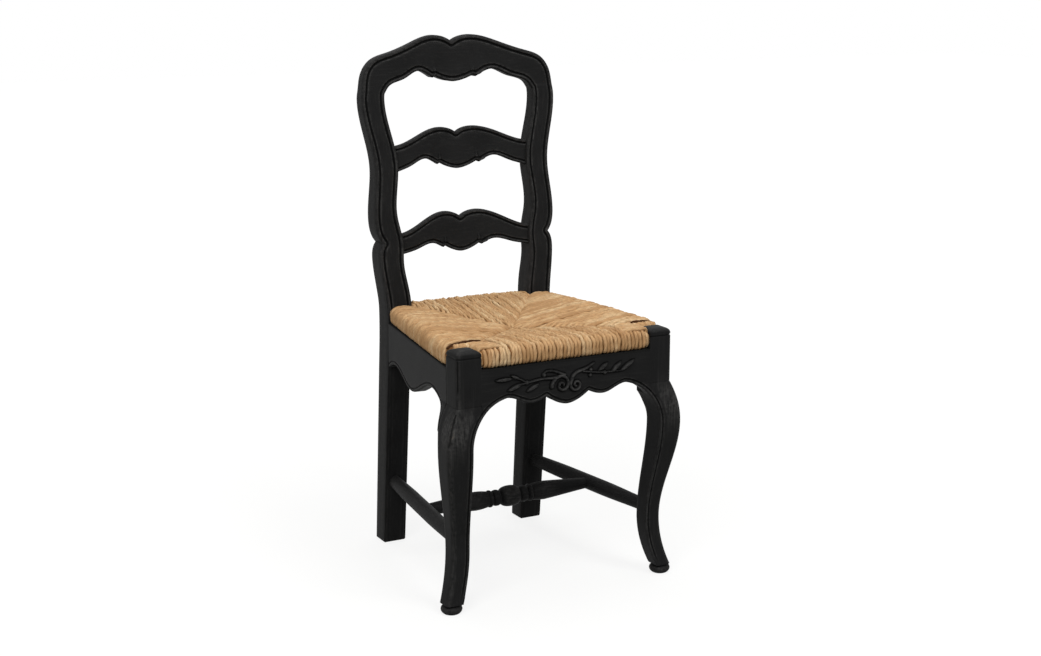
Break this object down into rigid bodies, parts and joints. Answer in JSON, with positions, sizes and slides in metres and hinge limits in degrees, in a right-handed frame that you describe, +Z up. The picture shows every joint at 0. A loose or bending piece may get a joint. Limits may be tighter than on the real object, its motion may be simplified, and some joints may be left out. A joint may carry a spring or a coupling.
{
  "type": "rush seat dining chair",
  "caption": "Black painted wooden ladder-back dining chair with serpentine posts, shaped crest and slats, cabriole front legs, scalloped aprons, turned stretchers and a hand-woven rush seat.",
  "frame": {"origin": "on the floor under the middle of the chair's outline box", "axes": "+Z up, the chair faces -Y, +X to the right as seen from the front"},
  "size_m": [0.4742, 0.4808, 0.985],
  "materials": {
    "painted_wood": "black satin paint, rubbed on the edges",
    "bare_wood": "plain unfinished beech",
    "rush": "twisted dry rush, matt"
  },
  "bodies": {
    "root": {"crest_rail": "painted_wood", "upper_back_slat": "painted_wood", "lower_back_slat": "painted_wood", "back_post_left": "painted_wood", "back_post_right": "painted_wood", "front_leg_left": "painted_wood", "front_leg_right": "painted_wood", "front_apron": "painted_wood", "side_apron_left": "painted_wood", "side_apron_right": "painted_wood", "rear_apron": "painted_wood", "side_stretcher_left": "painted_wood", "side_stretcher_right": "painted_wood", "cross_stretcher": "painted_wood", "front_seat_rail": "bare_wood", "rear_seat_rail": "bare_wood", "side_seat_rail_left": "bare_wood", "side_seat_rail_right": "bare_wood", "rush_seat": "rush", "rush_stuffing": "rush"}
  },
  "joints": []
}
